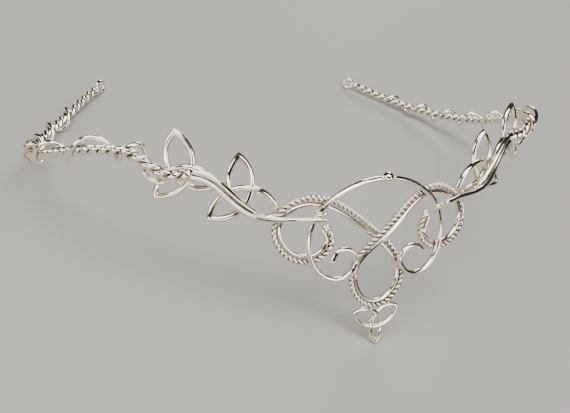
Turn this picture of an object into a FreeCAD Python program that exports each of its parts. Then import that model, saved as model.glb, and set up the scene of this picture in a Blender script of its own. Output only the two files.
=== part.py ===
import FreeCAD, Part
import math
import os

# Circlet of silver wire: a scrolled centre piece with a drop, two interlaced
# knots on each side, and a twisted band that ends in a small eye behind each ear.
#
# Every wire lies on one upright wall bent round the head. A place on it has
# three coordinates in millimetres: along the bend from the middle of the brow
# (+ is the wearer's left, the right of the front view), height on the wall, and
# out, which is how far it stands in front of the wall.

os.makedirs("parts", exist_ok=True)
doc = FreeCAD.newDocument("circlet")
sheet = doc.addObject("Spreadsheet::Sheet", "Sizes")

# name of the size, value in millimetres or degrees
SIZES = (
    ("lean_angle", 33.2),
    ("frame_wire", 1.62),
    ("rope_wire", 1.8),
    ("liner_wire", 1.45),
    ("ribbon_gap", 0.18),
    ("ribbon_inset", 0.65),
    ("band_wire", 1.6),
    ("strand_gap", 0.16),
    ("twist_pitch", 6.3),
    ("wrap_wire", 1.4),
    ("wrap_reach", 2.55),
    ("knot_wire", 1.95),
    ("knot_weave", 0.4),
    ("pendant_wire", 1.3),
    ("pendant_weave", 0.3),
    ("top_ball", 2.9),
    ("side_bead", 2.3),
    ("frame_out", 1.95),
    ("eye_outside", 5.2),
    ("eye_bore", 2.6),
    ("eye_thickness", 1.5),
)
for row, (name, value) in enumerate(SIZES, start=1):
    sheet.set("A%d" % row, name)
    sheet.set("B%d" % row, "%g" % value)
    sheet.setAlias("B%d" % row, name)
doc.recompute()


def size(name):
    return float(sheet.get(name))


# The bend of the wall from the middle of the brow to one end: length of each
# stretch and the angle that it turns through on either side. The right side is
# bent a little later than the left, as hand work is.
# stretch length, left turn, right turn
WALL_BEND = (
    (34.0, 8.6, 8.0),
    (40.0, 26.5, 22.4),
    (61.0, 71.2, 78.2),
    (27.0, 21.8, 21.8),
    (60.0, 33.5, 31.0),
)

# One round wire makes the arch and both scrolls. Each half runs from the middle
# of the arch to the open end of its scroll.
# along, height
LEFT_SCROLL = (
    (-5.7, 9.5), (-11.5, 8.2), (-17.3, 5.5), (-21.9, 1.6), (-25.0, -3.7), (-25.7, -9.5),
    (-23.9, -14.9), (-20.3, -18.5), (-15.7, -19.8), (-11.6, -18.3), (-9.4, -14.9),
    (-10.9, -11.4), (-14.3, -10.3), (-17.0, -11.6), (-17.7, -13.7),
)
RIGHT_SCROLL = (
    (5.2, 8.9), (10.0, 7.3), (14.9, 4.4), (19.2, 0.4), (21.6, -5.5), (22.0, -12.0),
    (19.9, -17.5), (15.8, -21.3), (11.1, -22.3), (7.2, -20.2), (5.6, -16.5),
    (7.2, -13.4), (10.7, -12.5), (13.2, -13.2), (14.6, -14.8),
)

# The ribbon is a rope and a plain liner side by side, bent into one pretzel:
# left loop, down over the brow, round the drop, and up to the right loop.
# along, height, out
RIBBON = (
    (-18.9, -3.0, 0.0), (-16.9, -6.6, 0.0), (-18.2, -11.0, 0.0), (-22.1, -13.4, 0.0),
    (-27.0, -13.5, 0.0), (-31.5, -11.3, 0.0), (-34.7, -7.2, 0.0), (-35.5, -2.2, 0.0),
    (-32.6, 3.0, 0.0), (-27.2, 5.4, 0.0), (-21.0, 5.2, 0.0), (-15.2, 2.9, -0.1),
    (-9.9, -0.5, -0.6), (-5.0, -4.2, -1.2), (-0.8, -7.7, -1.35), (3.2, -11.4, -1.15),
    (6.9, -16.4, -0.3), (8.2, -22.4, 0.0), (5.7, -27.7, 0.0), (1.0, -30.9, 0.0),
    (-4.3, -30.7, 0.0), (-8.6, -27.5, 0.0), (-10.8, -22.0, 0.0), (-10.2, -16.5, 0.0),
    (-6.6, -12.2, 0.5), (-0.8, -7.7, 1.35), (5.0, -3.2, 1.2), (10.8, 1.3, 0.3),
    (16.2, 4.1, 0.0), (22.6, 4.6, 0.0), (28.6, 2.2, 0.0), (32.8, -2.2, 0.0),
    (33.8, -7.6, 0.0), (31.4, -12.4, 0.0), (26.7, -15.6, 0.0), (21.0, -15.9, 0.0),
    (16.4, -13.2, 0.0), (14.5, -8.7, 0.0), (17.1, -4.0, 0.0),
)

# Middle line of the two band wires on one side, from the centre piece to the
# eye. They run side by side past the knots, one behind the other at the brow
# (turn 90) and one above the other (turn 0) by the outer knot, and are twisted
# together from there to the eye.
# along, height, out, turn
VINE = (
    (20.6, -0.4, 2.95, 90.0), (24.6, -0.1, 2.95, 90.0), (28.2, 0.2, 1.5, 90.0), (31.8, 0.4, 1.2, 90.0),
    (35.4, 0.5, 1.2, 90.0), (39.4, 1.5, 1.6, 78.0), (42.8, 3.5, 1.9, 45.0), (46.2, 6.6, 1.7, 15.0),
    (49.8, 10.5, 1.5, 0.0), (53.4, 14.3, 1.5, 0.0), (57.4, 16.9, 1.7, 0.0),
)
# along, height, out
BAND = (
    (57.4, 16.9, 1.7), (61.5, 17.3, 2.5), (65.5, 17.6, 2.6), (69.5, 19.2, 2.5), (75.0, 20.8, 1.8),
    (82.0, 21.2, 1.0), (90.0, 20.4, 0.4), (100.0, 18.9, 0.0), (112.0, 17.0, 0.0), (124.0, 15.7, 0.0),
    (136.0, 15.8, 0.0), (148.0, 17.4, 0.0), (160.0, 20.5, 0.0), (172.0, 24.7, 0.0), (187.4, 31.8, 0.0),
)
BACK_STRAND_START = {"left": 41.0, "right": 41.0}
FRONT_STRAND_START = {"left": 20.6, "right": 22.6}

# Where the wrapping wire passes under the band, from the outer knot to the eye,
# and how far its loops stand above the band there.
# along, loose
WRAP_UNDER = (
    (68.4, 1.0), (76.3, 1.0), (95.0, 0.9), (112.5, 0.7), (125.5, 0.3), (137.0, 0.1),
    (149.0, 0.0), (162.0, 0.0), (176.0, 0.0), (190.0, 0.0),
)
WRAP_END = 174.0
# The front end of the wrapping wire hangs in a small loop below the band.
# along, height above the middle of the band, out from it
WRAP_TAIL = ((59.6, -2.3, -0.6), (61.0, -3.9, -0.7), (63.6, -4.4, -0.8), (66.2, -3.6, -0.6))

# Corners of the interlaced knots, on the middle line of the wire, and how much
# the wire from each corner to the next is bowed, as a share of its chord.
# along, height, out, bow
INNER_KNOT = {
    "left": ((-33.2, 1.2, -2.2, 0.41), (-44.4, 18.7, -1.2, 0.41), (-53.3, 1.7, -0.9, 0.41)),
    "right": ((33.4, 1.4, -2.2, 0.41), (44.3, 19.2, -1.2, 0.41), (53.6, 1.3, -0.9, 0.41)),
}
OUTER_KNOT = {
    "left": ((-51.6, 10.7, -0.9, 0.41), (-61.9, 25.7, -0.7, 0.41), (-68.0, 8.2, -0.7, 0.41)),
    "right": ((52.0, 10.6, -0.9, 0.41), (62.4, 26.9, -0.7, 0.41), (69.4, 8.6, -0.7, 0.41)),
}
PENDANT = ((-8.4, -32.8, -1.25, 0.36), (7.2, -33.0, -1.25, 0.44), (-0.6, -43.7, -1.25, 0.44))

# How much higher each end of the band is carried than the table above, so that
# both eyes rest on the table with the tip of the drop.
END_LIFT = {"left": 0.0, "right": -2.7}
END_LIFT_FROM = 112.0

SIDES = (("left", -1.0), ("right", 1.0))
EYE_ALONG = 190.3
EYE_HEIGHT = 32.9


def wall_point(along, height, out):
    """A point and the outward direction on the upright wall, before it leans."""
    side = -1.0 if along < 0 else 1.0
    left_over = abs(along)
    x, y, heading = 0.0, 0.0, 0.0
    for length, left_turn, right_turn in WALL_BEND:
        radius = length / math.radians(left_turn if side < 0 else right_turn)
        step = min(length, left_over)
        next_heading = heading + step / radius
        x += radius * (math.sin(next_heading) - math.sin(heading))
        y += radius * (math.cos(heading) - math.cos(next_heading))
        heading = next_heading
        left_over -= step
        if left_over <= 1e-9:
            break
    outward = FreeCAD.Vector(side * math.sin(heading), -math.cos(heading), 0.0)
    point = FreeCAD.Vector(side * x, y, height) + outward * out
    return point, outward


def lean(vector):
    """Turn a vector from the upright wall to the pose on a table."""
    angle = -math.radians(size("lean_angle"))
    c, s = math.cos(angle), math.sin(angle)
    return FreeCAD.Vector(vector.x, c * vector.y - s * vector.z, s * vector.y + c * vector.z)


def place(along, height, out):
    return lean(wall_point(along, height, out)[0])


def unit(vector):
    return vector * (1.0 / vector.Length)


def smooth_path(points, share=0.45):
    """Straight runs joined by tangent arcs, one arc at each inner point."""
    edges = []
    start = points[0]
    for before, corner, after in zip(points, points[1:], points[2:]):
        to_before, to_after = before - corner, after - corner
        reach = share * min(to_before.Length, to_after.Length)
        a, b = unit(to_before), unit(to_after)
        arc_start, arc_end = corner + a * reach, corner + b * reach
        half = math.acos(max(-1.0, min(1.0, a.dot(b)))) / 2
        if math.pi / 2 - half < 0.004:
            continue
        radius = reach * math.tan(half)
        middle = corner + unit(a + b) * (math.hypot(radius, reach) - radius)
        edges.append(Part.makeLine(start, arc_start))
        edges.append(Part.Arc(arc_start, middle, arc_end).toShape())
        start = arc_end
    edges.append(Part.makeLine(start, points[-1]))
    return Part.Wire(edges)


def section_placement(points):
    direction = unit(points[1] - points[0])
    return FreeCAD.Placement(points[0], FreeCAD.Rotation(FreeCAD.Vector(0, 0, 1), direction))


def wire_piece(label, points, diameter_name):
    """A round wire: a circle from the sheet swept along its path."""
    path = doc.addObject("Part::Feature", label + "_path")
    path.Shape = smooth_path(points)
    circle = doc.addObject("Part::Circle", label + "_section")
    circle.setExpression("Radius", "Sizes.%s / 2" % diameter_name)
    circle.Placement = section_placement(points)
    sweep = doc.addObject("Part::Sweep", label)
    sweep.Sections = [circle]
    sweep.Spine = (path, [])
    sweep.Solid = True
    sweep.Frenet = False
    sweep.Label = label
    return sweep


def ball(label, along, height, out, diameter_name):
    sphere = doc.addObject("Part::Sphere", label)
    sphere.setExpression("Radius", "Sizes.%s / 2" % diameter_name)
    seam_turn = FreeCAD.Rotation(FreeCAD.Vector(1.0, 0.3, 0.2), 100.0)
    sphere.Placement = FreeCAD.Placement(place(along, height, out), seam_turn)
    return sphere


def make_frame_wire():
    """Arch and scrolls with the ball on top and the bead on the right joint."""
    out = size("frame_out")
    rows = LEFT_SCROLL[::-1] + ((0.2, 9.7),) + RIGHT_SCROLL
    points = [place(along, height, out) for along, height in rows]
    wire = wire_piece("scroll_wire", points, "frame_wire")
    top = ball("top_ball", 0.6, 9.6, out, "top_ball")
    right = ball("right_bead", 20.2, -1.5, out + 0.35, "side_bead")
    left = ball("left_bead", -21.9, 1.0, out + 0.1, "side_bead")
    frame = doc.addObject("Part::MultiFuse", "scroll_frame")
    frame.Shapes = [wire, top, right, left]
    frame.Label = "scroll_frame"
    return frame


def side_step(rows, index):
    """Unit step across a path on the wall, to the left of its direction."""
    before = rows[max(index - 1, 0)]
    after = rows[min(index + 1, len(rows) - 1)]
    run, rise = after[0] - before[0], after[1] - before[1]
    length = math.hypot(run, rise)
    return -rise / length, run / length


def ribbon_points(offset):
    points = []
    for index, (along, height, out) in enumerate(RIBBON):
        step_along, step_height = side_step(RIBBON, index)
        points.append(place(along + offset * step_along, height + offset * step_height, out))
    return points


def make_ribbon():
    rope, liner = size("rope_wire"), size("liner_wire")
    width = rope + liner + size("ribbon_gap")
    inset = size("ribbon_inset")
    rope_piece = wire_piece("ribbon_rope", ribbon_points((width - rope) / 2 - inset), "rope_wire")
    liner_piece = wire_piece("ribbon_liner", ribbon_points((liner - width) / 2 - inset), "liner_wire")
    return [rope_piece, liner_piece]


def mix(rows, along):
    """Row values at a distance along, between the two rows next to it."""
    for low, high in zip(rows, rows[1:]):
        if along <= high[0]:
            break
    share = (along - low[0]) / (high[0] - low[0])
    return [a + (b - a) * share for a, b in zip(low, high)]


def smooth_mix(rows, along):
    """Like mix, with the straight stretches rounded off."""
    reach = 2.5
    low, high = rows[0][0], rows[-1][0]
    values = [mix(rows, min(max(along + k * reach, low), high)) for k in (-1, 0, 1)]
    weights = (0.25, 0.5, 0.25)
    return [sum(w * v[i] for w, v in zip(weights, values)) for i in range(len(rows[0]))]


def end_lift(side, along):
    """Extra height of the band on one side, growing from the temple to the eye."""
    share = max(0.0, (along - END_LIFT_FROM) / (EYE_ALONG - END_LIFT_FROM))
    return END_LIFT["left" if side < 0 else "right"] * share


def line_point(rows, side, along):
    """A point of a line of rows on one side, and the outward direction there."""
    along = min(max(along, rows[0][0]), rows[-1][0])
    row = smooth_mix(rows, along)
    return wall_point(side * along, row[1] + end_lift(side, along), row[2])


def frame_at(rows, side, along):
    """Middle point, up and outward directions of a line of rows on one side."""
    step = 0.5
    middle, outward = line_point(rows, side, along)
    forward = line_point(rows, side, along + step)[0]
    back = line_point(rows, side, along - step)[0]
    tangent = unit(forward - back)
    outward = unit(outward - tangent * outward.dot(tangent))
    up = outward.cross(tangent) if side < 0 else tangent.cross(outward)
    if up.z < 0:
        up = up * -1.0
    return middle, up, outward


def strand_points(side_name, side, strand):
    """Path of one band wire. strand is 0 for the upper and back one, 1 for the other."""
    half = (size("band_wire") + size("strand_gap")) / 2
    start = (BACK_STRAND_START if strand == 0 else FRONT_STRAND_START)[side_name]
    steps_a_turn = 6
    radius = half / math.cos(math.pi / steps_a_turn)
    twisted_from = VINE[-1][0]
    stations = [start] + [row[0] for row in VINE if row[0] > start + 1.5]
    points = []
    for along in stations:
        reach = radius if along == twisted_from else half
        turn = math.radians(mix(VINE, along)[3]) + math.pi * strand
        middle, up, outward = frame_at(VINE, side, along)
        points.append(middle + up * (reach * math.cos(turn)) - outward * (reach * math.sin(turn)))
    twisted_length = BAND[-1][0] - twisted_from
    count = round(twisted_length / size("twist_pitch") * steps_a_turn)
    step = twisted_length / count
    for number in range(1, count + 1):
        along = twisted_from + number * step
        turn = side * 2 * math.pi * number / steps_a_turn + math.pi * strand
        middle, up, outward = frame_at(BAND, side, along)
        points.append(middle + up * (radius * math.cos(turn)) - outward * (radius * math.sin(turn)))
    return [lean(point) for point in points]


def make_band(side_name, side):
    pieces = []
    for strand, name in enumerate(("upper", "lower")):
        label = "%s_band_%s_strand" % (side_name, name)
        pieces.append(wire_piece(label, strand_points(side_name, side, strand), "band_wire"))
    return pieces


def make_wrap(side_name, side):
    """The thinner wire wound loosely round the band."""
    steps_a_turn = 8
    reach = size("wrap_reach")
    grow = 1 / math.cos(math.pi / steps_a_turn)
    points = []
    for along, height, out in WRAP_TAIL:
        middle, up, outward = frame_at(BAND, side, along)
        points.append(middle + up * height + outward * out)
    for (low, loose), (high, _) in zip(WRAP_UNDER, WRAP_UNDER[1:]):
        for step in range(steps_a_turn):
            along = low + (high - low) * step / steps_a_turn
            if along > WRAP_END:
                break
            turn = math.pi + side * 2 * math.pi * step / steps_a_turn
            middle, up, outward = frame_at(BAND, side, along)
            height = loose / 2 + (grow * reach + loose / 2) * math.cos(turn)
            points.append(middle + up * height - outward * (grow * reach * math.sin(turn)))
    return wire_piece("%s_wrap" % side_name, [lean(point) for point in points], "wrap_wire")


def plane_out(corners, along, height):
    """How far out the flat of a knot stands at a place, from its three corners."""
    (a1, h1, o1), (a2, h2, o2), (a3, h3, o3) = (corner[:3] for corner in corners)
    det = (a2 - a1) * (h3 - h1) - (a3 - a1) * (h2 - h1)
    u = ((along - a1) * (h3 - h1) - (a3 - a1) * (height - h1)) / det
    v = ((a2 - a1) * (height - h1) - (along - a1) * (h2 - h1)) / det
    return o1 + u * (o2 - o1) + v * (o3 - o1)


def knot_strand(corners, start, end, other, wire, weave):
    """One of the three bent wires of a knot, mitred at both corners."""
    (a1, h1), (a2, h2), (a3, h3) = start[:2], end[:2], other[:2]
    chord = math.hypot(a2 - a1, h2 - h1)
    rise = start[3] * chord
    radius = (chord * chord / 4 + rise * rise) / (2 * rise)
    ux, uh = (a2 - a1) / chord, (h2 - h1) / chord
    nx, nh = -uh, ux
    if (a3 - a1) * nx + (h3 - h1) * nh < 0:
        nx, nh = -nx, -nh
    half_sweep = math.asin(chord / 2 / radius)
    overrun = 1.6 * wire / radius
    stations = 9
    points = []
    for number in range(stations):
        share = -1 + 2 * number / (stations - 1)
        angle = share * (half_sweep + overrun)
        across = radius * math.sin(angle)
        up = rise - radius * (1 - math.cos(angle))
        along = (a1 + a2) / 2 + ux * across + nx * up
        height = (h1 + h2) / 2 + uh * across + nh * up
        inside = min(1.0, abs(angle) / half_sweep)
        lift = weave * math.sin(math.pi * inside) * (1 if angle > 0 else -1)
        points.append(place(along, height, plane_out(corners, along, height) + lift))
    circle = Part.Circle(points[0], unit(points[1] - points[0]), wire / 2).toShape()
    tube = smooth_path(points).makePipeShell([Part.Wire([circle])], True, False)
    centre_along = (a1 + a2 + a3) / 3
    centre_height = (h1 + h2 + h3) / 3
    for corner, inward in ((start, 1.0), (end, -1.0)):
        tip = place(*corner[:3])
        core = place(centre_along, centre_height, plane_out(corners, centre_along, centre_height))
        length = unit(tip - core)
        outward = lean(wall_point(corner[0], corner[1], 0.0)[1])
        outward = unit(outward - length * outward.dot(length))
        across = outward.cross(length)
        middle = place((a1 + a2) / 2 + nx * rise, (h1 + h2) / 2 + nh * rise, corner[2])
        away = place(corner[0] + ux * inward, corner[1] + uh * inward, corner[2]) - tip
        if across.dot(away) < 0:
            across = across * -1.0
        block = mitre_block(tip, length, across, outward, wire)
        tube = tube.cut(block)
    return tube


def mitre_block(tip, length, across, outward, wire):
    """A block on the far side of the mitre plane at one corner."""
    size_out = 4.0 * wire
    low = tip - length * (1.2 * wire) - outward * (size_out / 2)
    corners = [low, low + length * size_out, low + length * size_out + across * size_out, low + across * size_out]
    face = Part.Face(Part.makePolygon(corners + corners[:1]))
    return face.extrude(outward * size_out)


def make_knot(label, corners, wire_name, weave_name):
    wire, weave = size(wire_name), size(weave_name)
    strands = []
    for number in range(3):
        start, end, other = (corners[(number + k) % 3] for k in range(3))
        strands.append(knot_strand(corners, start, end, other, wire, weave))
    knot = doc.addObject("Part::Feature", label)
    knot.Shape = strands[0].fuse(strands[1:]).removeSplitter()
    knot.Label = label
    return knot


def make_eye(side_name, side):
    """A flat ring with a round hole, across the wall at the end of the band."""
    label = "%s_end_eye" % side_name
    centre, outward = wall_point(side * EYE_ALONG, EYE_HEIGHT + end_lift(side, EYE_ALONG), 0.0)
    axis = lean(outward)
    thickness = size("eye_thickness")
    placement = FreeCAD.Placement(lean(centre) - axis * (thickness / 2),
                                  FreeCAD.Rotation(FreeCAD.Vector(0, 0, 1), axis))
    outside = doc.addObject("Part::Cylinder", label + "_outside")
    outside.setExpression("Radius", "Sizes.eye_outside / 2")
    outside.setExpression("Height", "Sizes.eye_thickness")
    outside.Placement = placement
    hole = doc.addObject("Part::Cylinder", label + "_hole")
    hole.setExpression("Radius", "Sizes.eye_bore / 2")
    hole.setExpression("Height", "Sizes.eye_thickness")
    hole.Placement = placement
    ring = doc.addObject("Part::Cut", label)
    ring.Base = outside
    ring.Tool = hole
    ring.Label = label
    return ring


pieces = [make_frame_wire()] + make_ribbon()
pieces.append(make_knot("pendant_knot", PENDANT, "pendant_wire", "pendant_weave"))
for side_name, side in SIDES:
    pieces.append(make_knot(side_name + "_inner_knot", INNER_KNOT[side_name], "knot_wire", "knot_weave"))
    pieces.append(make_knot(side_name + "_outer_knot", OUTER_KNOT[side_name], "knot_wire", "knot_weave"))
    pieces += make_band(side_name, side)
    pieces.append(make_wrap(side_name, side))
    pieces.append(make_eye(side_name, side))
doc.recompute()

# The circlet stands on the tip of the drop and on both eyes, with the middle of
# its outline at the origin.
bounds = FreeCAD.BoundBox()
for piece in pieces:
    bounds.add(piece.Shape.optimalBoundingBox())
to_origin = FreeCAD.Vector(-bounds.Center.x, -bounds.Center.y, -bounds.ZMin)
for item in doc.Objects:
    if "Invalid" in item.State or "Error" in item.State:
        raise RuntimeError("%s failed: %s" % (item.Name, item.State))
for piece in pieces:
    shape = piece.Shape.copy()
    shape.translate(to_origin)
    if shape.isNull() or not shape.isValid() or len(shape.Solids) != 1:
        raise RuntimeError("%s is not one sound solid" % piece.Label)
    shape.exportStep("parts/%s.step" % piece.Label)
    print("%-26s volume %8.2f  faces %4d" % (piece.Label, shape.Volume, len(shape.Faces)))
print("moved by", to_origin, "size", bounds.XLength, bounds.YLength, bounds.ZLength)
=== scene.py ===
import math

import bmesh
import bpy
from mathutils import Matrix, Vector


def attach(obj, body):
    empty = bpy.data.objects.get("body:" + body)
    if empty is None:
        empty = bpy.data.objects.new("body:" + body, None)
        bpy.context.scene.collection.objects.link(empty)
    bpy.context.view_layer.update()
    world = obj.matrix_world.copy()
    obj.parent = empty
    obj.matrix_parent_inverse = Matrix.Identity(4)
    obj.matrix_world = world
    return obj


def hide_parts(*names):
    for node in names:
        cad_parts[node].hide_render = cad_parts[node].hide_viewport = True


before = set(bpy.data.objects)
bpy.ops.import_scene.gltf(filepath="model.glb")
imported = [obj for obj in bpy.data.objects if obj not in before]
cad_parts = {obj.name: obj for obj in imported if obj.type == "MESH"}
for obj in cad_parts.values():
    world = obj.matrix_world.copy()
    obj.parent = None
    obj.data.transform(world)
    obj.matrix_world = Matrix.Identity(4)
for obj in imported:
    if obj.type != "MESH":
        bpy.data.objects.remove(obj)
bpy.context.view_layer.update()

# The wall
# Every wire of the circlet lies on one upright wall bent round the head, which
# leans back as the piece stands on a table. A place on it is given in
# millimetres: along the bend from the middle of the brow, height, and out.

LEAN = math.radians(33.2)
STAND_SHIFT = Vector((-0.866, -46.442, 37.947))
# stretch length, left turn, right turn
WALL_BEND = (
    (34.0, 8.6, 8.0),
    (40.0, 26.5, 22.4),
    (61.0, 71.2, 78.2),
    (27.0, 21.8, 21.8),
    (60.0, 33.5, 31.0),
)


def wall_point(along, height, out):
    """A point and the outward direction on the upright wall, in millimetres."""
    side = -1.0 if along < 0 else 1.0
    left_over = abs(along)
    x, y, heading = 0.0, 0.0, 0.0
    for length, left_turn, right_turn in WALL_BEND:
        radius = length / math.radians(left_turn if side < 0 else right_turn)
        turned = heading + min(length, left_over) / radius
        x += radius * (math.sin(turned) - math.sin(heading))
        y += radius * (math.cos(heading) - math.cos(turned))
        heading = turned
        left_over -= length
        if left_over <= 0:
            break
    outward = Vector((side * math.sin(heading), -math.cos(heading), 0.0))
    return Vector((side * x, y, height)) + outward * out, outward


def lean(vector):
    c, s = math.cos(LEAN), math.sin(LEAN)
    return Vector((vector.x, c * vector.y + s * vector.z, c * vector.z - s * vector.y))


def stand(point):
    """A point of the upright wall, in metres on the table."""
    return (lean(point) + STAND_SHIFT) / 1000


def place(along, height, out):
    return stand(wall_point(along, height, out)[0])


# The silver
# Sterling silver wire, drawn round, soldered and tumbled bright. It is a clean
# mirror with faint draw marks and handling wear. Where two wires touch, tarnish
# and painted shade from ambient occlusion darken its colour, which draws a dark
# line along every joint.


def silver_colour(text):
    """An sRGB hex colour as linear light, with alpha."""
    channels = [int(text[i:i + 2], 16) / 255 for i in (1, 3, 5)]
    return [c / 12.92 if c <= 0.04045 else ((c + 0.055) / 1.055) ** 2.4 for c in channels] + [1.0]


def add_node(tree, kind, settings=None, inputs=None):
    """Adds a node, sets its fields, and fills or links its inputs."""
    node = tree.nodes.new(kind)
    for field, value in (settings or {}).items():
        setattr(node, field, value)
    for socket, value in (inputs or {}).items():
        if isinstance(value, bpy.types.NodeSocket):
            tree.links.new(value, node.inputs[socket])
        else:
            node.inputs[socket].default_value = value
    return node


# noise cells to the metre: 3 mm clouds of handling wear, and draw marks and
# tumbling dents of 0.2 to 0.6 mm, as coarse as they need to be to show
WEAR_SCALE = 330.0
MARK_SCALE = 1600.0
MARK_DEPTH = 0.00006
SMOOTHEST = 0.07
TARNISH_AND_SHADE_FADE = 0.5


def polished_silver(name, bright, tarnish_and_shade, groove_shade_reach, clean_and_lit_from, roughest):
    """Tumbled sterling silver, clean where more than the given share of the sky is open, and darkened
    elsewhere with tarnish and painted shade.
    """
    material = bpy.data.materials.new(name)
    material.use_nodes = True
    tree = material.node_tree
    tree.nodes.clear()
    spot = add_node(tree, "ShaderNodeTexCoord").outputs["Object"]
    wear = add_node(tree, "ShaderNodeTexNoise", inputs={
        "Vector": spot, "Scale": WEAR_SCALE, "Detail": 4.0})
    marks = add_node(tree, "ShaderNodeTexNoise", inputs={
        "Vector": spot, "Scale": MARK_SCALE, "Detail": 2.0})
    rough = add_node(tree, "ShaderNodeMapRange", inputs={
        "Value": wear.outputs["Fac"], "From Min": 0.35, "From Max": 0.7,
        "To Min": SMOOTHEST, "To Max": roughest})
    bump = add_node(tree, "ShaderNodeBump", inputs={
        "Height": marks.outputs["Fac"], "Strength": 0.25, "Distance": MARK_DEPTH})
    # painted shade: ambient occlusion darkens the colour towards the dark tint in joints and grooves,
    # together with the tarnish there
    occlusion_shade = add_node(tree, "ShaderNodeAmbientOcclusion", {"samples": 12}, {"Distance": groove_shade_reach})
    clean_and_lit = add_node(tree, "ShaderNodeMapRange", inputs={
        "Value": occlusion_shade.outputs["AO"], "From Min": clean_and_lit_from - TARNISH_AND_SHADE_FADE,
        "From Max": clean_and_lit_from})
    tint = add_node(tree, "ShaderNodeMix", {"data_type": "RGBA"}, {
        0: clean_and_lit.outputs["Result"], 6: silver_colour(tarnish_and_shade), 7: silver_colour(bright)})
    shader = add_node(tree, "ShaderNodeBsdfPrincipled", inputs={
        "Base Color": tint.outputs[2], "Metallic": 1.0,
        "Roughness": rough.outputs["Result"], "Normal": bump.outputs["Normal"]})
    add_node(tree, "ShaderNodeOutputMaterial", inputs={"Surface": shader.outputs["BSDF"]})
    return material


# drawn wire is a bright mirror with a thin dark line of tarnish and painted shade in each joint
wire_silver = polished_silver("drawn_wire_silver", "#f7ecdb", "#43372b", 0.0011, 0.62, 0.19)
# twisted wire is darkened in all its grooves with tarnish and painted shade, so that it reads as a rope
rope_silver = polished_silver("twisted_wire_silver", "#f5e9d6", "#1d1712", 0.001, 0.84, 0.2)


# Drawing the wire
# Round wire pulled through a plate, then bent by hand. One tree draws it along
# a bent path, as a single wire or as several laid round each other.

wire_tree = bpy.data.node_groups.new("lay_wire", "GeometryNodeTree")
wire_sockets = {}
for label, kind in (
    ("Path", "NodeSocketGeometry"), ("Wire Radius", "NodeSocketFloat"), ("Strands", "NodeSocketInt"),
    ("Spread", "NodeSocketFloat"), ("Lay Length", "NodeSocketFloat"), ("Step", "NodeSocketFloat"),
    ("Sides", "NodeSocketInt"), ("Silver", "NodeSocketMaterial"),
):
    socket = wire_tree.interface.new_socket(label, in_out="INPUT", socket_type=kind)
    wire_sockets[label] = socket.identifier
wire_tree.interface.new_socket("Wire", in_out="OUTPUT", socket_type="NodeSocketGeometry")
given = add_node(wire_tree, "NodeGroupInput").outputs
path = add_node(wire_tree, "GeometryNodeMeshToCurve", inputs={"Mesh": given["Path"]})
path = add_node(wire_tree, "GeometryNodeResampleCurve", {"mode": "LENGTH"}, {
    "Curve": path.outputs["Curve"], "Length": given["Step"]})
copies = add_node(wire_tree, "GeometryNodeDuplicateElements", {"domain": "SPLINE"}, {
    "Geometry": path.outputs["Curve"], "Amount": given["Strands"]})
length = add_node(wire_tree, "GeometryNodeSplineParameter").outputs["Length"]
laid = add_node(wire_tree, "ShaderNodeMath", {"operation": "DIVIDE"}, {
    0: length, 1: given["Lay Length"]})
first = add_node(wire_tree, "ShaderNodeMath", {"operation": "DIVIDE"}, {
    0: copies.outputs["Duplicate Index"], 1: given["Strands"]})
turns = add_node(wire_tree, "ShaderNodeMath", {"operation": "ADD"}, {
    0: laid.outputs[0], 1: first.outputs[0]})
angle = add_node(wire_tree, "ShaderNodeMath", {"operation": "MULTIPLY"}, {
    0: turns.outputs[0], 1: math.tau})
across = add_node(wire_tree, "ShaderNodeVectorRotate", {"rotation_type": "AXIS_ANGLE"}, {
    "Vector": add_node(wire_tree, "GeometryNodeInputNormal").outputs["Normal"],
    "Axis": add_node(wire_tree, "GeometryNodeInputTangent").outputs["Tangent"],
    "Angle": angle.outputs[0]})
aside = add_node(wire_tree, "ShaderNodeVectorMath", {"operation": "SCALE"}, {
    0: across.outputs["Vector"], "Scale": given["Spread"]})
strands = add_node(wire_tree, "GeometryNodeSetPosition", inputs={
    "Geometry": copies.outputs["Geometry"], "Offset": aside.outputs["Vector"]})
section = add_node(wire_tree, "GeometryNodeCurvePrimitiveCircle", inputs={
    "Resolution": given["Sides"], "Radius": given["Wire Radius"]})
drawn = add_node(wire_tree, "GeometryNodeCurveToMesh", inputs={
    "Curve": strands.outputs["Geometry"], "Profile Curve": section.outputs["Curve"], "Fill Caps": True})
whole = add_node(wire_tree, "GeometryNodeRealizeInstances", inputs={"Geometry": drawn.outputs["Mesh"]})
finished = add_node(wire_tree, "GeometryNodeSetMaterial", inputs={
    "Geometry": whole.outputs["Geometry"], "Material": given["Silver"]})
add_node(wire_tree, "NodeGroupOutput", inputs={"Wire": finished.outputs["Geometry"]})


def bend(points, steps=8):
    """A smooth line that rounds every inner point of a row."""
    line = [points[0]]
    for index in range(1, len(points) - 1):
        corner = points[index]
        start = points[0] if index == 1 else (points[index - 1] + corner) / 2
        end = points[-1] if index == len(points) - 2 else (corner + points[index + 1]) / 2
        for step in range(1, steps + 1):
            t = step / steps
            line.append(start * (1 - t) ** 2 + corner * (2 * t * (1 - t)) + end * t ** 2)
    return line


def lay_wire(name, points, diameter, silver, strands=1, spread=0.0, lay=1.0, step=0.3, sides=20):
    """A mesh of the wire along a row of points; sizes in millimetres."""
    line = bpy.data.meshes.new(name + "_path")
    line.from_pydata(points, [(i, i + 1) for i in range(len(points) - 1)], [])
    piece = bpy.data.objects.new(name, line)
    bpy.context.scene.collection.objects.link(piece)
    modifier = piece.modifiers.new("wire", "NODES")
    modifier.node_group = wire_tree
    for label, value in (
        ("Wire Radius", diameter / 2000), ("Strands", strands), ("Spread", spread / 1000),
        ("Lay Length", lay / 1000), ("Step", step / 1000), ("Sides", sides), ("Silver", silver),
    ):
        modifier[wire_sockets[label]] = value
    solid = bpy.data.meshes.new_from_object(piece.evaluated_get(bpy.context.evaluated_depsgraph_get()))
    bpy.data.objects.remove(piece)
    bpy.data.meshes.remove(line)
    return solid


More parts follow.
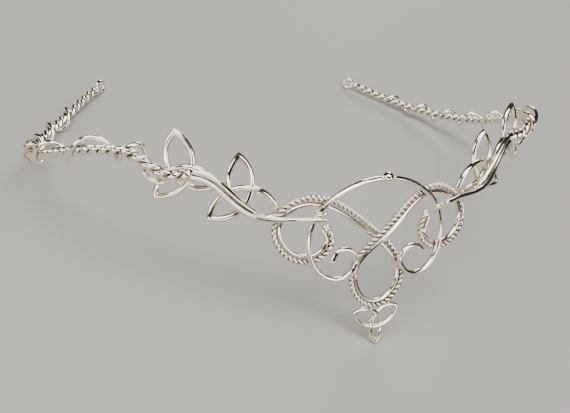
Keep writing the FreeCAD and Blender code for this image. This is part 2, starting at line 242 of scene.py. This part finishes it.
def blob(centre, axes, sizes, silver):
    """A rounded lump of metal with half sizes in millimetres along three axes."""
    lump = bmesh.new()
    bmesh.ops.create_icosphere(lump, subdivisions=4, radius=1.0)
    turn = Matrix([axis.normalized() for axis in axes]).transposed()
    for vertex in lump.verts:
        scaled = Vector([c * s / 1000 for c, s in zip(vertex.co, sizes)])
        vertex.co = centre + turn @ scaled
    mesh = bpy.data.meshes.new("lump")
    lump.to_mesh(mesh)
    lump.free()
    mesh.materials.append(silver)
    return mesh


def join_silver(name, meshes, silver):
    """One object from several meshes, smooth, with its faces outwards."""
    whole = bmesh.new()
    for mesh in meshes:
        part = bmesh.new()
        part.from_mesh(mesh)
        bmesh.ops.remove_doubles(part, verts=part.verts, dist=1e-7)
        bmesh.ops.recalc_face_normals(part, faces=part.faces)
        part.to_mesh(mesh)
        part.free()
        whole.from_mesh(mesh)
        bpy.data.meshes.remove(mesh)
    joined = bpy.data.meshes.new(name)
    for face in whole.faces:
        face.smooth = True
        face.material_index = 0
    whole.to_mesh(joined)
    whole.free()
    joined.materials.clear()
    joined.materials.append(silver)
    joined.set_sharp_from_angle(angle=math.radians(50))
    piece = bpy.data.objects.new(name, joined)
    bpy.context.scene.collection.objects.link(piece)
    return piece


def axes_at(along, height, out):
    """Directions along, up and out from the wall at a place."""
    reach = 0.5
    forward = place(along + reach, height, out) - place(along - reach, height, out)
    up = place(along, height + reach, out) - place(along, height - reach, out)
    return forward.normalized(), up.normalized(), forward.cross(up).normalized()


def round_ends(points, radius, silver):
    """Melted round ends for the first and the last point of a wire."""
    return [blob(tip, axes_at(0, 0, 0), (radius,) * 3, silver) for tip in (points[0], points[-1])]


# Arch and scrolls
# One length of round wire is bent to an arch over the brow, and each end is
# rolled up in an open scroll. A cast ball sits on top between two tight
# collars, and a bead is melted on over each shoulder.

ARCH_WIRE = 1.7
ARCH_OUT = 1.95
# along, height
LEFT_SCROLL = (
    (-5.7, 9.5), (-11.5, 8.2), (-17.3, 5.5), (-21.9, 1.6), (-25.0, -3.7), (-25.7, -9.5),
    (-23.9, -14.9), (-20.3, -18.5), (-15.7, -19.8), (-11.6, -18.3), (-9.4, -14.9),
    (-10.9, -11.4), (-14.3, -10.3), (-17.0, -11.6), (-17.7, -13.7),
)
RIGHT_SCROLL = (
    (5.2, 8.9), (10.0, 7.3), (14.9, 4.4), (19.2, 0.4), (21.6, -5.5), (22.0, -12.0),
    (19.9, -17.5), (15.8, -21.3), (11.1, -22.3), (7.2, -20.2), (5.6, -16.5),
    (7.2, -13.4), (10.7, -12.5), (13.2, -13.2), (14.6, -14.8),
)
arch_rows = LEFT_SCROLL[::-1] + ((0.2, 9.7),) + RIGHT_SCROLL
arch_points = [place(along, height, ARCH_OUT) for along, height in arch_rows]
arch_parts = [lay_wire("arch", bend(arch_points, 10), ARCH_WIRE, wire_silver, sides=28)]
arch_parts += round_ends(arch_points, ARCH_WIRE / 2 + 0.02, wire_silver)
# along, height, out, half sizes along, up and out
for *spot, sizes in (
    (0.6, 9.6, ARCH_OUT, (1.8, 1.9, 1.9)),
    (-1.65, 9.6, ARCH_OUT, (0.42, 1.2, 1.2)),
    (2.8, 9.3, ARCH_OUT, (0.4, 1.15, 1.15)),
    (20.2, -1.5, ARCH_OUT + 0.35, (1.15, 1.15, 1.1)),
    (-21.9, 1.0, ARCH_OUT + 0.1, (1.1, 1.15, 0.95)),
):
    arch_parts.append(blob(place(*spot), axes_at(*spot), sizes, wire_silver))
arch = join_silver("arch_and_scrolls", arch_parts, wire_silver)
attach(arch, "root")
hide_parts("scroll_frame")


# The ribbon
# A rope of two twisted wires runs beside a plain liner, soldered edge to edge
# and bent in one pretzel with three loops. The rope stays on the outside of
# each loop, and both its ends are melted to a bead.

ROPE_WIRE = 0.98
ROPE_SPREAD = 0.47
ROPE_LAY = 3.5
LINER_WIRE = 1.45
ROPE_WIDTH = 1.8
RIBBON_GAP = 0.18
RIBBON_INSET = 0.65
# along, height, out
RIBBON = (
    (-18.8, -4.0, 0.0), (-16.9, -7.0, 0.0), (-18.2, -11.0, 0.0), (-22.1, -13.4, 0.0),
    (-27.0, -13.5, 0.0), (-31.5, -11.3, 0.0), (-34.7, -7.2, 0.0), (-35.5, -2.2, 0.0),
    (-32.6, 3.0, 0.0), (-27.2, 5.4, 0.0), (-21.0, 5.2, 0.0), (-15.2, 2.9, -0.1),
    (-9.9, -0.5, -0.6), (-5.0, -4.2, -1.2), (-0.8, -7.7, -1.35), (3.2, -11.4, -1.15),
    (6.9, -16.4, -0.3), (8.2, -22.4, 0.0), (5.7, -27.7, 0.0), (1.0, -30.9, 0.0),
    (-4.3, -30.7, 0.0), (-8.6, -27.5, 0.0), (-10.8, -22.0, 0.0), (-10.2, -16.5, 0.0),
    (-6.6, -12.2, 0.5), (-0.8, -7.7, 1.35), (5.0, -3.2, 1.2), (10.8, 1.3, 0.3),
    (16.2, 4.1, 0.0), (22.6, 4.6, 0.0), (28.6, 2.2, 0.0), (32.8, -2.2, 0.0),
    (33.8, -7.6, 0.0), (31.4, -12.4, 0.0), (26.7, -15.6, 0.0), (21.0, -15.9, 0.0),
    (16.4, -13.2, 0.0), (14.5, -8.7, 0.0), (17.1, -4.0, 0.0),
)


def beside_ribbon(offset):
    """The row of the ribbon shifted across it, to the left of its direction."""
    points = []
    last = len(RIBBON) - 1
    for index, (along, height, out) in enumerate(RIBBON):
        before, after = RIBBON[max(index - 1, 0)], RIBBON[min(index + 1, last)]
        run, rise = after[0] - before[0], after[1] - before[1]
        length = math.hypot(run, rise)
        points.append(place(along - offset * rise / length, height + offset * run / length, out))
    return points


ribbon_width = ROPE_WIDTH + LINER_WIRE + RIBBON_GAP
rope_points = beside_ribbon((ribbon_width - ROPE_WIDTH) / 2 - RIBBON_INSET)
rope_parts = [lay_wire(
    "rope", bend(rope_points), ROPE_WIRE, rope_silver,
    strands=2, spread=ROPE_SPREAD, lay=ROPE_LAY, step=0.16, sides=16,
)]
liner_points = beside_ribbon((LINER_WIRE - ribbon_width) / 2 - RIBBON_INSET)
for end in (0, -1):
    middle = (rope_points[end] + liner_points[end]) / 2
    for bead, sizes in ((rope_points[end], (1.05, 1.05, 0.9)), (middle, (1.4, 1.4, 0.85))):
        rope_parts.append(blob(bead, axes_at(0, 0, 0), sizes, rope_silver))
rope = join_silver("twisted_rope", rope_parts, rope_silver)
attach(rope, "root")
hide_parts("ribbon_rope")

liner_parts = [lay_wire("liner", bend(liner_points), LINER_WIRE, wire_silver, sides=24)]
liner_parts += round_ends(liner_points, LINER_WIRE / 2, wire_silver)
liner = join_silver("ribbon_liner_wire", liner_parts, wire_silver)
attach(liner, "root")
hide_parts("ribbon_liner")


# The band
# Two round wires run side by side over the knots and are twisted together from
# the outer knot to behind each ear. The left front wire crosses the arch and
# ends there in a hammered tip.

BAND_WIRE = 1.66
BAND_HALF = 0.88
TWIST_PITCH = 6.3
TWIST_STEPS = 18
VINE_STEPS = 24
JOIN_REACH = 2.5
# along, height, out, turn
VINE = (
    (20.6, -0.4, 2.95, 90.0), (24.6, -0.1, 2.95, 90.0), (28.2, 0.2, 1.5, 90.0), (31.8, 0.4, 1.2, 90.0),
    (35.4, 0.5, 1.2, 90.0), (39.4, 1.5, 1.6, 78.0), (42.8, 3.5, 1.9, 45.0), (46.2, 6.6, 1.7, 15.0),
    (49.8, 10.5, 1.5, 0.0), (53.4, 14.3, 1.5, 0.0), (57.4, 16.9, 1.7, 0.0),
)
# along, height, out
BAND = (
    (57.4, 16.9, 1.7), (61.5, 17.3, 2.5), (65.5, 17.6, 2.6), (69.5, 19.2, 2.5), (75.0, 20.8, 1.8),
    (82.0, 21.2, 1.0), (90.0, 20.4, 0.4), (100.0, 18.9, 0.0), (112.0, 17.0, 0.0), (124.0, 15.7, 0.0),
    (136.0, 15.8, 0.0), (148.0, 17.4, 0.0), (160.0, 20.5, 0.0), (172.0, 24.7, 0.0), (187.4, 31.8, 0.0),
)
EYE_ALONG = 190.3
EYE_HEIGHT = 32.9
RIGHT_END_LIFT = -2.7
LIFT_FROM = 112.0
# the left band was bent lower over its outer knot
DIP_MIDDLE, DIP_REACH, DIP_DEPTH = 62.0, 13.0, 2.9
BACK_START = 41.0
FRONT_START = {"left": 20.6, "right": 22.6}


def row_between(rows, along):
    """Row values at a distance along, rounded over the joins of the rows."""
    values = []
    for shift in (-JOIN_REACH, 0.0, JOIN_REACH):
        here = min(max(along + shift, rows[0][0]), rows[-1][0])
        for low, high in zip(rows, rows[1:]):
            if here <= high[0]:
                break
        share = (here - low[0]) / (high[0] - low[0])
        values.append([a + (b - a) * share for a, b in zip(low, high)])
    return [0.25 * a + 0.5 * b + 0.25 * c for a, b, c in zip(*values)]


def end_lift(side, along):
    """How far the band is bent up or down from its row on one side."""
    if side > 0:
        return RIGHT_END_LIFT * max(0.0, (along - LIFT_FROM) / (EYE_ALONG - LIFT_FROM))
    nearness = max(0.0, 1.0 - abs(along - DIP_MIDDLE) / DIP_REACH)
    return -DIP_DEPTH * math.sin(nearness * math.pi / 2) ** 2


def band_frame(rows, side, along):
    """Middle point, up and outward directions of the band, on the upright wall."""
    def spot(distance):
        distance = min(max(distance, rows[0][0]), rows[-1][0])
        row = row_between(rows, distance)
        return wall_point(side * distance, row[1] + end_lift(side, distance), row[2])

    middle, outward = spot(along)
    tangent = (spot(along + 0.5)[0] - spot(along - 0.5)[0]).normalized()
    outward = (outward - tangent * outward.dot(tangent)).normalized()
    up = outward.cross(tangent)
    return middle, up if up.z > 0 else -up, outward


def band_strand(side_name, side, strand):
    """The row of one of the two wires: beside the other first, then twisted with it."""
    start = BACK_START if strand == 0 else FRONT_START[side_name]
    points = []
    twist_from = VINE[-1][0]
    for number in range(VINE_STEPS + 1):
        along = start + (twist_from - start) * number / VINE_STEPS
        turn = math.radians(row_between(VINE, along)[3]) + math.pi * strand
        middle, up, outward = band_frame(VINE, side, along)
        points.append(stand(middle + (up * math.cos(turn) - outward * math.sin(turn)) * BAND_HALF))
    twisted = BAND[-1][0] - twist_from
    turns = round(twisted / TWIST_PITCH * 6) / 6
    count = round(turns * TWIST_STEPS)
    for number in range(1, count + 1):
        turn = side * math.tau * turns * number / count + math.pi * strand
        middle, up, outward = band_frame(BAND, side, twist_from + twisted * number / count)
        points.append(stand(middle + (up * math.cos(turn) - outward * math.sin(turn)) * BAND_HALF))
    return points


for side_name, side in (("left", -1.0), ("right", 1.0)):
    band_parts = []
    for strand in (0, 1):
        points = band_strand(side_name, side, strand)
        band_parts.append(lay_wire("strand", bend(points, 3), BAND_WIRE, wire_silver))
        band_parts += round_ends(points, BAND_WIRE / 2 - 0.02, wire_silver)
    # along, height, out, half sizes along, up and out of the lumps on its front ends
    lumps = [(side * (BACK_START + 0.2), 1.8, 0.7, (1.9, 0.85, 0.9))]
    if side < 0:
        lumps.append((-20.7, -0.2, 3.3, (0.8, 1.95, 0.75)))
    for *spot, sizes in lumps:
        band_parts.append(blob(place(*spot), axes_at(*spot), sizes, wire_silver))
    band = join_silver(side_name + "_twisted_band", band_parts, wire_silver)
    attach(band, "root")
    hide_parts(side_name + "_band_upper_strand", side_name + "_band_lower_strand")


# The wrapping wire
# A thinner wire is wound round each band by hand, in long loose loops that
# stand off above it. Its front end is tucked in a small bend by the outer knot.

WRAP_WIRE = 1.4
WRAP_REACH = 2.55
WRAP_END = 174.0
LOOP_STEPS = 8
# along, loose
WRAP_UNDER = (
    (68.4, 1.0), (76.3, 1.0), (95.0, 0.9), (112.5, 0.7), (125.5, 0.3), (137.0, 0.1),
    (149.0, 0.0), (162.0, 0.0), (176.0, 0.0), (190.0, 0.0),
)
# along, height, out from the band
WRAP_TAIL = {
    "left": ((64.4, -2.6, -0.7), (65.0, -3.2, -0.8), (66.2, -3.4, -0.8), (67.4, -3.2, -0.5)),
    "right": ((61.4, -3.0, -0.6), (62.2, -4.0, -0.8), (64.2, -4.5, -0.8), (66.4, -3.6, -0.6)),
}

for side_name, side in (("left", -1.0), ("right", 1.0)):
    points = []
    for along, height, out in WRAP_TAIL[side_name]:
        middle, up, outward = band_frame(BAND, side, along)
        points.append(stand(middle + up * height + outward * out))
    reach = WRAP_REACH / math.cos(math.pi / LOOP_STEPS)
    for (low, loose), (high, next_loose) in zip(WRAP_UNDER, WRAP_UNDER[1:]):
        for step in range(LOOP_STEPS):
            along = low + (high - low) * step / LOOP_STEPS
            if along > WRAP_END:
                break
            turn = math.pi + side * math.tau * step / LOOP_STEPS
            middle, up, outward = band_frame(BAND, side, along)
            height = loose / 2 + (reach + loose / 2) * math.cos(turn)
            points.append(stand(middle + up * height - outward * (reach * math.sin(turn))))
    wrap_parts = [lay_wire("wrap", bend(points, 10), WRAP_WIRE, wire_silver, step=0.35, sides=20)]
    wrap_parts += round_ends(points, WRAP_WIRE / 2, wire_silver)
    wrap = join_silver(side_name + "_wrapping_wire", wrap_parts, wire_silver)
    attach(wrap, "root")
    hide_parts(side_name + "_wrap")


# The interlaced knots
# Three bowed lengths of wire are woven over and under each other and mitred to
# sharp points. Two such knots sit behind the band on each side, and a finer
# one hangs below the ribbon as the drop.

KNOT_WIRE = 1.95
KNOT_WEAVE = 0.4
DROP_WIRE = 1.45
DROP_WEAVE = 0.3
BOW_STATIONS = 33
# in wire thicknesses: how far a wire runs past its corners, and what is mitred
OVERRUN = 1.6
MITRE_REACH = 1.2
# corners of each knot: along, height, out, bow of the wire to the next corner
KNOTS = {
    "left_inner_knot": ((-33.2, 1.2, -2.2, 0.41), (-44.4, 18.7, -1.2, 0.41), (-53.3, 1.7, -0.9, 0.41)),
    "right_inner_knot": ((33.4, 1.4, -2.2, 0.41), (44.3, 19.2, -1.2, 0.41), (53.6, 1.3, -0.9, 0.41)),
    "left_outer_knot": ((-51.6, 10.7, -0.9, 0.41), (-61.9, 25.7, -0.7, 0.41), (-68.0, 8.2, -0.7, 0.41)),
    "right_outer_knot": ((52.0, 10.6, -0.9, 0.41), (62.4, 26.9, -0.7, 0.41), (69.4, 8.6, -0.7, 0.41)),
    "pendant_knot": ((-8.4, -32.8, -1.25, 0.36), (7.2, -33.0, -1.25, 0.44), (-0.6, -43.7, -1.25, 0.44)),
}


def flat_out(corners, along, height):
    """How far out the flat of a knot stands at a place, from its corners."""
    (a1, h1, o1), (a2, h2, o2), (a3, h3, o3) = (corner[:3] for corner in corners)
    det = (a2 - a1) * (h3 - h1) - (a3 - a1) * (h2 - h1)
    u = ((along - a1) * (h3 - h1) - (a3 - a1) * (height - h1)) / det
    v = ((a2 - a1) * (height - h1) - (along - a1) * (h2 - h1)) / det
    return o1 + u * (o2 - o1) + v * (o3 - o1)


def knot_wire(corners, start, end, other, wire, weave):
    """One bowed wire of a knot, cut to a mitre at both corners."""
    (a1, h1), (a2, h2), (a3, h3) = start[:2], end[:2], other[:2]
    chord = math.hypot(a2 - a1, h2 - h1)
    rise = start[3] * chord
    radius = (chord * chord / 4 + rise * rise) / (2 * rise)
    ux, uh = (a2 - a1) / chord, (h2 - h1) / chord
    nx, nh = -uh, ux
    if (a3 - a1) * nx + (h3 - h1) * nh < 0:
        nx, nh = -nx, -nh
    half_sweep = math.asin(chord / 2 / radius)
    overrun = OVERRUN * wire / radius
    points = []
    for number in range(BOW_STATIONS):
        angle = (-1 + 2 * number / (BOW_STATIONS - 1)) * (half_sweep + overrun)
        across = radius * math.sin(angle)
        up = rise - radius * (1 - math.cos(angle))
        along = (a1 + a2) / 2 + ux * across + nx * up
        height = (h1 + h2) / 2 + uh * across + nh * up
        lift = weave * math.sin(math.pi * min(1.0, abs(angle) / half_sweep)) * (1 if angle > 0 else -1)
        points.append(place(along, height, flat_out(corners, along, height) + lift))
    mesh = lay_wire("knot_wire", points, wire, wire_silver, step=0.25, sides=24)
    cut = bmesh.new()
    cut.from_mesh(mesh)
    core_along, core_height = (a1 + a2 + a3) / 3, (h1 + h2 + h3) / 3
    core = place(core_along, core_height, flat_out(corners, core_along, core_height))
    for corner, inward in ((start, 1.0), (end, -1.0)):
        tip = place(*corner[:3])
        length = (tip - core).normalized()
        outward = lean(wall_point(corner[0], corner[1], 0.0)[1])
        outward = (outward - length * outward.dot(length)).normalized()
        side_way = outward.cross(length)
        away = place(corner[0] + ux * inward, corner[1] + uh * inward, corner[2]) - tip
        if side_way.dot(away) < 0:
            side_way = -side_way
        beyond = tip - length * (MITRE_REACH * wire / 1000)
        far = [v for v in cut.verts if (v.co - beyond).dot(length) > 0]
        faces = {f for v in far for f in v.link_faces}
        edges = {e for f in faces for e in f.edges}
        corners_of = {v for f in faces for v in f.verts}
        geometry = [*faces, *edges, *corners_of]
        result = bmesh.ops.bisect_plane(
            cut, geom=geometry, plane_co=tip, plane_no=side_way, clear_outer=True, dist=1e-8)
        rim = [e for e in result["geom_cut"] if isinstance(e, bmesh.types.BMEdge) and e.is_valid]
        bmesh.ops.holes_fill(cut, edges=rim, sides=0)
    cut.to_mesh(mesh)
    cut.free()
    return mesh


for knot_name, corners in KNOTS.items():
    drop = knot_name == "pendant_knot"
    wire, weave = (DROP_WIRE, DROP_WEAVE) if drop else (KNOT_WIRE, KNOT_WEAVE)
    knot_parts = []
    for number in range(3):
        start, end, other = (corners[(number + k) % 3] for k in range(3))
        knot_parts.append(knot_wire(corners, start, end, other, wire, weave))
    knot = join_silver(knot_name + "_woven", knot_parts, wire_silver)
    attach(knot, "root")
    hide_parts(knot_name)


# The end eyes
# A small ring of round wire closes each end of the band, for a ribbon to tie
# it behind the head. It is soldered on with a neck of metal.

EYE_MIDDLE_RADIUS = 1.92
EYE_WIRE_RADIUS = 0.66
EYE_STEPS = 64
EYE_SIDES = 20

for side_name, side in (("left", -1.0), ("right", 1.0)):
    centre, outward = wall_point(side * EYE_ALONG, EYE_HEIGHT + end_lift(side, EYE_ALONG), 0.0)
    centre, outward = stand(centre), lean(outward)
    across = outward.orthogonal().normalized()
    upward = outward.cross(across)
    ring = bmesh.new()
    rows = []
    for i in range(EYE_STEPS):
        spin = math.tau * i / EYE_STEPS
        arm = across * math.cos(spin) + upward * math.sin(spin)
        row = []
        for j in range(EYE_SIDES):
            tilt = math.tau * j / EYE_SIDES
            reach = EYE_MIDDLE_RADIUS + EYE_WIRE_RADIUS * math.cos(tilt)
            rise = EYE_WIRE_RADIUS * math.sin(tilt)
            row.append(ring.verts.new(centre + (arm * reach + outward * rise) / 1000))
        rows.append(row)
    for row, next_row in zip(rows, rows[1:] + rows[:1]):
        for j in range(EYE_SIDES):
            after = (j + 1) % EYE_SIDES
            ring.faces.new((row[j], next_row[j], next_row[after], row[after]))
    ring_mesh = bpy.data.meshes.new("ring")
    ring.to_mesh(ring_mesh)
    ring.free()
    neck_spot = (side * (EYE_ALONG - 2.9), EYE_HEIGHT - 1.2 + end_lift(side, EYE_ALONG), 0.0)
    neck = blob(place(*neck_spot), axes_at(*neck_spot), (1.0, 0.95, 0.8), wire_silver)
    eye = join_silver(side_name + "_tie_ring", [ring_mesh, neck], wire_silver)
    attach(eye, "root")
    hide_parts(side_name + "_end_eye")


# The solder
# Silver solder is flowed between wires where they cross or touch. It leaves low
# rounded fillets, a little duller than the wire.

# flowed solder is duller and greyer than the wire, and darkened in its joints with tarnish and painted
# shade
solder_silver = polished_silver("flowed_solder", "#e6ddcf", "#40372e", 0.0009, 0.62, 0.34)
# along, height, out, half sizes along, up and out
SOLDER = (
    (-21.6, 1.3, 1.0, (1.2, 1.3, 0.9)), (-21.0, 0.0, 2.4, (1.0, 0.9, 0.8)),
    (16.9, 3.6, 1.0, (1.0, 0.9, 0.9)), (-24.3, -14.1, 0.95, (1.0, 0.9, 0.9)),
    (20.9, -15.8, 0.95, (1.0, 0.9, 0.9)), (21.7, -0.9, 2.3, (1.1, 0.8, 0.8)),
    (-9.9, -18.5, 0.95, (0.7, 1.2, 0.8)), (6.2, -18.8, 0.95, (0.7, 1.3, 0.8)),
    (-34.4, 0.9, -0.5, (1.2, 0.9, 0.9)), (34.0, 1.0, -0.4, (1.2, 0.9, 0.9)),
    (-39.4, 1.4, 0.2, (1.0, 0.9, 0.8)), (39.6, 1.6, 0.2, (1.0, 0.9, 0.8)),
    (-47.0, 7.4, 0.3, (1.1, 1.1, 0.8)), (47.2, 7.6, 0.3, (1.1, 1.1, 0.8)),
    (-52.0, 11.2, 0.0, (1.2, 1.1, 1.0)), (52.4, 11.2, 0.0, (1.2, 1.1, 1.0)),
    (-57.6, 13.7, 0.5, (1.4, 0.9, 0.8)), (57.8, 15.7, 0.5, (1.4, 0.9, 0.8)),
    (-3.2, -31.9, -0.55, (1.4, 0.55, 0.6)), (3.4, -31.2, -0.55, (1.3, 0.6, 0.6)),
)
solder_parts = [
    blob(place(*spot), axes_at(*spot), sizes, solder_silver) for *spot, sizes in SOLDER
]
solder = join_silver("solder_fillets", solder_parts, solder_silver)
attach(solder, "root")


# The table and the light
# A plain pale table in a dim room. Soft lamps stand above, below and on both
# sides of the camera, so that every wire mirrors a bright, a dark and a bright
# line, and one behind lights the rims.

TABLE_HALF = 3.0
table_mesh = bpy.data.meshes.new("table")
table_mesh.from_pydata(
    [(x * TABLE_HALF, y * TABLE_HALF, 0) for x, y in ((-1, -1), (1, -1), (1, 1), (-1, 1))],
    [], [(0, 1, 2, 3)])
table = bpy.data.objects.new("table", table_mesh)
bpy.context.scene.collection.objects.link(table)
paper = bpy.data.materials.new("pale_paper")
paper.use_nodes = True
paper_shader = paper.node_tree.nodes["Principled BSDF"]
paper_shader.inputs["Base Color"].default_value = silver_colour("#a6a39d")
paper_shader.inputs["Roughness"].default_value = 0.75
table_mesh.materials.append(paper)

world = bpy.data.worlds.new("room")
world.use_nodes = True
world.node_tree.nodes["Background"].inputs["Color"].default_value = silver_colour("#8a8782")
world.node_tree.nodes["Background"].inputs["Strength"].default_value = 0.1
bpy.context.scene.world = world
# name, place in metres, width, height, watts
for lamp_name, spot, width, height, watts in (
    ("high_lamp", (-0.1, -0.12, 0.85), 1.0, 0.38, 9.8),
    ("low_lamp", (-0.5, -0.7, 0.28), 1.0, 0.14, 3.6),
    ("left_lamp", (-0.95, 0.1, 0.5), 0.35, 0.5, 4.5),
    ("right_lamp", (0.5, -0.85, 0.5), 0.35, 0.5, 4.5),
    ("rim_lamp", (0.5, 0.7, 0.4), 0.4, 0.4, 5.0),
):
    lamp = bpy.data.lights.new(lamp_name, "AREA")
    lamp.shape = "RECTANGLE"
    lamp.size, lamp.size_y, lamp.energy = width, height, watts
    holder = bpy.data.objects.new(lamp_name, lamp)
    holder.location = spot
    holder.rotation_euler = (Vector((0, 0, 0.03)) - Vector(spot)).to_track_quat("-Z", "Y").to_euler()
    bpy.context.scene.collection.objects.link(holder)

# The camera stands low over the left shoulder of the brow.
CAMERA_SPOT = Vector((-115.87, -164.52, 48.54))
YAW, PITCH, ROLL = (math.radians(angle) for angle in (26.813, -13.463, -0.697))
FOCAL_PIXELS = 678.96
FRAME_WIDTH = 570
forward = Vector((math.sin(YAW) * math.cos(PITCH), math.cos(YAW) * math.cos(PITCH), math.sin(PITCH)))
level = Vector((math.cos(YAW), -math.sin(YAW), 0.0))
over = level.cross(forward)
right = level * math.cos(ROLL) + over * math.sin(ROLL)
over = over * math.cos(ROLL) - level * math.sin(ROLL)
camera = bpy.data.cameras.new("camera")
camera.sensor_width = 36.0
camera.lens = camera.sensor_width * FOCAL_PIXELS / FRAME_WIDTH
camera.clip_start = 0.01
holder = bpy.data.objects.new("camera", camera)
turn = Matrix([lean(right), lean(over), -lean(forward)]).transposed()
holder.matrix_world = Matrix.Translation(stand(CAMERA_SPOT)) @ turn.to_4x4()
bpy.context.scene.collection.objects.link(holder)
bpy.context.scene.camera = holder
